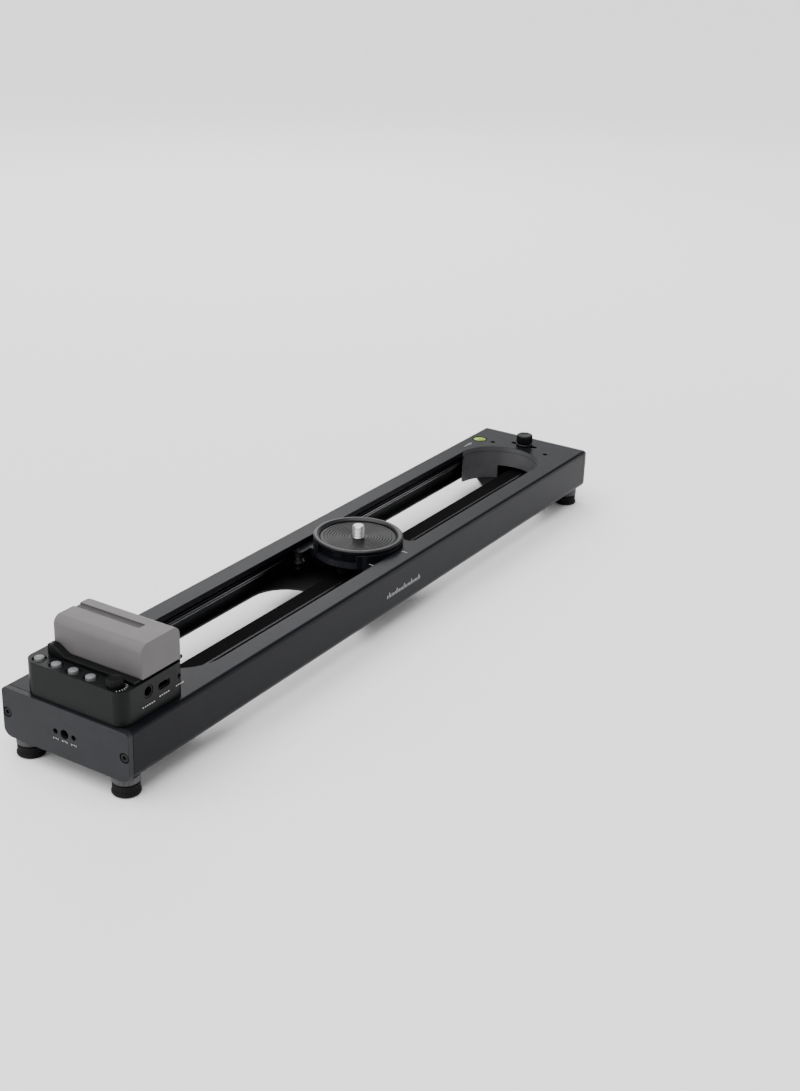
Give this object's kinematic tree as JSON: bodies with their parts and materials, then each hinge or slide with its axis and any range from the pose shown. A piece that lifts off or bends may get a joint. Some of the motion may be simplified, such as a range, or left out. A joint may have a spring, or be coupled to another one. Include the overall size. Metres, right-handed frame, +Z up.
{
  "type": "motorised camera slider",
  "caption": "Flat camera slider on feet: a turntable carriage runs in a deck opening, steered by a clamped guide bar, with a control box and battery at one end.",
  "frame": {"origin": "bottom centre of the bounding box, on the ground under the middle of the body", "axes": "+X runs along the body from the control box end to the far end, -Y is the front with the sockets, +Z is up"},
  "size_m": [0.6, 0.102, 0.095],
  "materials": {
    "housing": "satin black anodised aluminium",
    "near_end_liner": "satin black anodised aluminium",
    "far_end_liner": "satin black anodised aluminium",
    "guide_bar": "satin black anodised aluminium",
    "carriage_plate": "satin black anodised aluminium",
    "turntable_ring": "satin black anodised aluminium",
    "near_end_plate": "smooth black anodised aluminium",
    "far_end_plate": "smooth black anodised aluminium",
    "floor_plate": "black coated sheet metal",
    "tripod_block": "bright steel",
    "front_guide_rod": "bright steel",
    "rear_guide_rod": "bright steel",
    "bar_pivot_pin": "bright steel",
    "camera_screw": "bright steel",
    "follower_roller": "bright steel",
    "drive_pulley": "bright steel",
    "idler_pulley": "bright steel",
    "idler_axle": "bright steel",
    "usb_socket": "bright steel",
    "axle_near_front": "bright steel",
    "axle_near_rear": "bright steel",
    "axle_far_front": "bright steel",
    "axle_far_rear": "bright steel",
    "foot_collar_near_front": "bright steel",
    "foot_collar_near_rear": "bright steel",
    "foot_collar_far_front": "bright steel",
    "foot_collar_far_rear": "bright steel",
    "end_screw_near_front": "blackened steel",
    "end_screw_near_rear": "blackened steel",
    "end_screw_far_front": "blackened steel",
    "end_screw_far_rear": "blackened steel",
    "clamp_sleeve": "blackened steel",
    "clamp_knob": "blackened steel",
    "turntable_platform": "blackened steel",
    "follower_arm": "blackened steel",
    "gear_motor": "blackened steel",
    "dc_socket": "blackened steel",
    "aux_socket": "blackened steel",
    "roller_near_front": "dark matt plastic",
    "roller_near_rear": "dark matt plastic",
    "roller_far_front": "dark matt plastic",
    "roller_far_rear": "dark matt plastic",
    "belt_clamp": "dark matt plastic",
    "control_box": "dark matt plastic",
    "speed_dial": "dark matt plastic",
    "battery_shoe": "dark matt plastic",
    "level_cup": "dark matt plastic",
    "foot_pad_near_front": "black rubber",
    "foot_pad_near_rear": "black rubber",
    "foot_pad_far_front": "black rubber",
    "foot_pad_far_rear": "black rubber",
    "push_button_1": "grey plastic",
    "push_button_2": "grey plastic",
    "push_button_3": "grey plastic",
    "push_button_4": "grey plastic",
    "drive_belt": "black rubber belt",
    "circuit_board": "green circuit board",
    "battery_contacts": "plated contacts",
    "level_vial": "lime green level vial",
    "battery_pack": "warm grey plastic"
  },
  "bodies": {
    "frame": {"housing": "housing", "near_end_liner": "near_end_liner", "far_end_liner": "far_end_liner", "near_end_plate": "near_end_plate", "far_end_plate": "far_end_plate", "floor_plate": "floor_plate", "tripod_block": "tripod_block", "front_guide_rod": "front_guide_rod", "rear_guide_rod": "rear_guide_rod", "bar_pivot_pin": "bar_pivot_pin", "idler_axle": "idler_axle", "usb_socket": "usb_socket", "foot_collar_near_front": "foot_collar_near_front", "foot_collar_near_rear": "foot_collar_near_rear", "foot_collar_far_front": "foot_collar_far_front", "foot_collar_far_rear": "foot_collar_far_rear", "end_screw_near_front": "end_screw_near_front", "end_screw_near_rear": "end_screw_near_rear", "end_screw_far_front": "end_screw_far_front", "end_screw_far_rear": "end_screw_far_rear", "gear_motor": "gear_motor", "dc_socket": "dc_socket", "aux_socket": "aux_socket", "control_box": "control_box", "battery_shoe": "battery_shoe", "level_cup": "level_cup", "drive_belt": "drive_belt", "circuit_board": "circuit_board", "battery_contacts": "battery_contacts", "level_vial": "level_vial"},
    "carriage": {"carriage_plate": "carriage_plate", "belt_clamp": "belt_clamp", "axle_near_front": "axle_near_front", "axle_near_rear": "axle_near_rear", "axle_far_front": "axle_far_front", "axle_far_rear": "axle_far_rear"},
    "turntable": {"turntable_ring": "turntable_ring", "turntable_platform": "turntable_platform", "camera_screw": "camera_screw", "follower_arm": "follower_arm"},
    "follower_wheel": {"follower_roller": "follower_roller"},
    "pan_guide": {"guide_bar": "guide_bar", "clamp_sleeve": "clamp_sleeve"},
    "knob": {"clamp_knob": "clamp_knob"},
    "drive_wheel": {"drive_pulley": "drive_pulley"},
    "idler_wheel": {"idler_pulley": "idler_pulley"},
    "dial": {"speed_dial": "speed_dial"},
    "battery": {"battery_pack": "battery_pack"},
    "wheel_near_front": {"roller_near_front": "roller_near_front"},
    "foot_near_front": {"foot_pad_near_front": "foot_pad_near_front"},
    "wheel_near_rear": {"roller_near_rear": "roller_near_rear"},
    "foot_near_rear": {"foot_pad_near_rear": "foot_pad_near_rear"},
    "wheel_far_front": {"roller_far_front": "roller_far_front"},
    "foot_far_front": {"foot_pad_far_front": "foot_pad_far_front"},
    "wheel_far_rear": {"roller_far_rear": "roller_far_rear"},
    "foot_far_rear": {"foot_pad_far_rear": "foot_pad_far_rear"},
    "button_1": {"push_button_1": "push_button_1"},
    "button_2": {"push_button_2": "push_button_2"},
    "button_3": {"push_button_3": "push_button_3"},
    "button_4": {"push_button_4": "push_button_4"}
  },
  "joints": [
    {"name": "carriage_slide", "type": "slide", "parent": "frame", "child": "carriage", "axis": [1, 0, 0], "range_m": [-0.176, 0.181]},
    {"name": "turntable_turn", "type": "hinge", "parent": "carriage", "child": "turntable", "pos_m": [0.0175, 0, 0.053], "axis": [0, 0, 1], "continuous": true},
    {"name": "follower_turn", "type": "hinge", "parent": "turntable", "child": "follower_wheel", "pos_m": [-0.0025, 0, 0.0285], "axis": [0, 0, 1], "continuous": true},
    {"name": "guide_swing", "type": "hinge", "parent": "frame", "child": "pan_guide", "pos_m": [-0.234, 0, 0.0268], "axis": [0, 0, 1], "range_deg": [-0.9, 0.9]},
    {"name": "knob_turn", "type": "hinge", "parent": "pan_guide", "child": "knob", "pos_m": [0.28, 0, 0.0475], "axis": [0, 0, 1], "range_deg": [-360, 360]},
    {"name": "drive_turn", "type": "hinge", "parent": "frame", "child": "drive_wheel", "pos_m": [-0.26, -0.024, 0.0195], "axis": [0, 0, 1], "continuous": true},
    {"name": "idler_turn", "type": "hinge", "parent": "frame", "child": "idler_wheel", "pos_m": [0.284, -0.024, 0.0195], "axis": [0, 0, 1], "continuous": true},
    {"name": "dial_turn", "type": "hinge", "parent": "frame", "child": "dial", "pos_m": [-0.2912, -0.0346, 0.071], "axis": [0, 0, 1], "range_deg": [-150, 150]},
    {"name": "battery_slide", "type": "slide", "parent": "frame", "child": "battery", "axis": [0, -1, 0], "range_m": [0, 0.03]},
    {"name": "wheel_turn_near_front", "type": "hinge", "parent": "carriage", "child": "wheel_near_front", "pos_m": [-0.0135, -0.0329, 0.0358], "axis": [0, 0, 1], "continuous": true},
    {"name": "foot_screw_near_front", "type": "slide", "parent": "frame", "child": "foot_near_front", "axis": [0, 0, -1], "range_m": [0, 0.004]},
    {"name": "wheel_turn_near_rear", "type": "hinge", "parent": "carriage", "child": "wheel_near_rear", "pos_m": [-0.0135, 0.0329, 0.0358], "axis": [0, 0, 1], "continuous": true},
    {"name": "foot_screw_near_rear", "type": "slide", "parent": "frame", "child": "foot_near_rear", "axis": [0, 0, -1], "range_m": [0, 0.004]},
    {"name": "wheel_turn_far_front", "type": "hinge", "parent": "carriage", "child": "wheel_far_front", "pos_m": [0.0485, -0.0329, 0.0358], "axis": [0, 0, 1], "continuous": true},
    {"name": "foot_screw_far_front", "type": "slide", "parent": "frame", "child": "foot_far_front", "axis": [0, 0, -1], "range_m": [0, 0.004]},
    {"name": "wheel_turn_far_rear", "type": "hinge", "parent": "carriage", "child": "wheel_far_rear", "pos_m": [0.0485, 0.0329, 0.0358], "axis": [0, 0, 1], "continuous": true},
    {"name": "foot_screw_far_rear", "type": "slide", "parent": "frame", "child": "foot_far_rear", "axis": [0, 0, -1], "range_m": [0, 0.004]},
    {"name": "button_press_1", "type": "slide", "parent": "frame", "child": "button_1", "axis": [0, 0, -1], "range_m": [0, 0.0006], "stiffness_N_per_m": 800, "springref_m": -0.0002},
    {"name": "button_press_2", "type": "slide", "parent": "frame", "child": "button_2", "axis": [0, 0, -1], "range_m": [0, 0.0006], "stiffness_N_per_m": 800, "springref_m": -0.0002},
    {"name": "button_press_3", "type": "slide", "parent": "frame", "child": "button_3", "axis": [0, 0, -1], "range_m": [0, 0.0006], "stiffness_N_per_m": 800, "springref_m": -0.0002},
    {"name": "button_press_4", "type": "slide", "parent": "frame", "child": "button_4", "axis": [0, 0, -1], "range_m": [0, 0.0006], "stiffness_N_per_m": 800, "springref_m": -0.0002}
  ],
  "couplings": [
    {"joint": "drive_turn", "follows": "carriage_slide", "rad_per_m": -166.67},
    {"joint": "idler_turn", "follows": "carriage_slide", "rad_per_m": -166.67},
    {"joint": "wheel_turn_near_front", "follows": "carriage_slide", "rad_per_m": -285.71},
    {"joint": "wheel_turn_near_rear", "follows": "carriage_slide", "rad_per_m": 285.71},
    {"joint": "wheel_turn_far_front", "follows": "carriage_slide", "rad_per_m": -285.71},
    {"joint": "wheel_turn_far_rear", "follows": "carriage_slide", "rad_per_m": 285.71}
  ]
}
